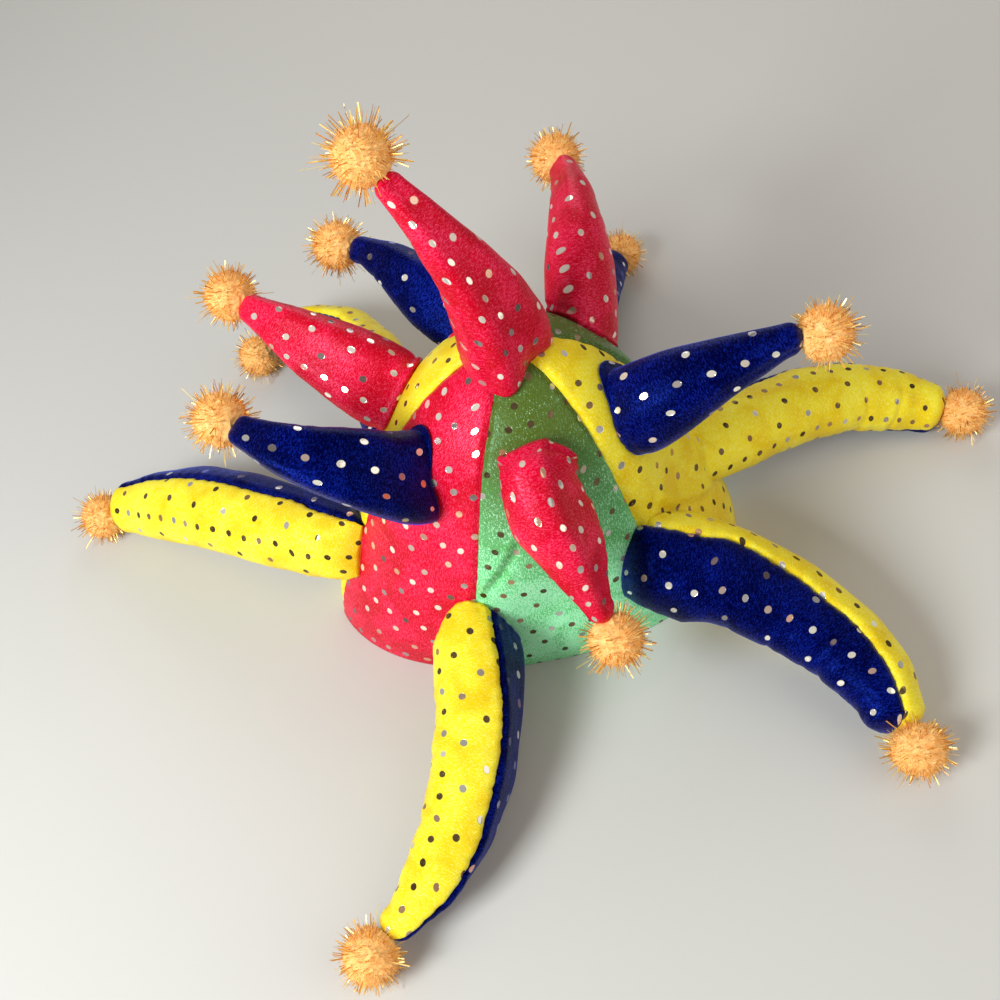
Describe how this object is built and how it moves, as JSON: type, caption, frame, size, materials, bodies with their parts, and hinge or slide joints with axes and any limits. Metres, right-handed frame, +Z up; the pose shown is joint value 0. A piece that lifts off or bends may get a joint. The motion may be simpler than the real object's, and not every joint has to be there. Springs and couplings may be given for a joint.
{
  "type": "jester hat",
  "caption": "Soft domed fool's cap of coloured gores with long curved stuffed horns in tiers, each tipped with a round tinsel pompom.",
  "frame": {"origin": "on the surface that the hat rests on, under the middle of its box", "axes": "+Z up through the crown, -Y towards the front of the crown, +X to the right when looking at the front"},
  "size_m": [0.5214, 0.4468, 0.2747],
  "materials": {
    "red_velour": "short-pile velour with foil dots",
    "green_velour": "satiny short-pile velour with foil dots",
    "yellow_velour": "short-pile velour with foil dots",
    "blue_velour": "short-pile velour with foil dots",
    "tinsel": "metallic tinsel strands, gold and copper"
  },
  "bodies": {
    "root": {"gore_green_front": "green_velour", "gore_yellow_right": "yellow_velour", "gore_green_back_right": "green_velour", "gore_red_back": "red_velour", "gore_yellow_back_left": "yellow_velour", "gore_red_front_left": "red_velour", "lower_horn_front_blue": "blue_velour", "lower_horn_front_yellow": "yellow_velour", "pompom_lower_front": "tinsel", "lower_horn_right_front_yellow": "yellow_velour", "lower_horn_right_front_blue": "blue_velour", "pompom_lower_right_front": "tinsel", "lower_horn_right_blue": "blue_velour", "lower_horn_right_yellow": "yellow_velour", "pompom_lower_right": "tinsel", "lower_horn_back_right_yellow": "yellow_velour", "lower_horn_back_right_blue": "blue_velour", "pompom_lower_back_right": "tinsel", "lower_horn_back_left_blue": "blue_velour", "lower_horn_back_left_yellow": "yellow_velour", "pompom_lower_back_left": "tinsel", "lower_horn_left_yellow": "yellow_velour", "lower_horn_left_blue": "blue_velour", "pompom_lower_left": "tinsel", "upper_horn_front": "red_velour", "pompom_upper_front": "tinsel", "upper_horn_right": "blue_velour", "pompom_upper_right": "tinsel", "upper_horn_back_right": "red_velour", "pompom_upper_back_right": "tinsel", "upper_horn_back_left": "blue_velour", "pompom_upper_back_left": "tinsel", "upper_horn_left": "red_velour", "pompom_upper_left": "tinsel", "upper_horn_left_front": "blue_velour", "pompom_upper_left_front": "tinsel", "top_horn": "red_velour", "pompom_top": "tinsel"}
  },
  "joints": []
}
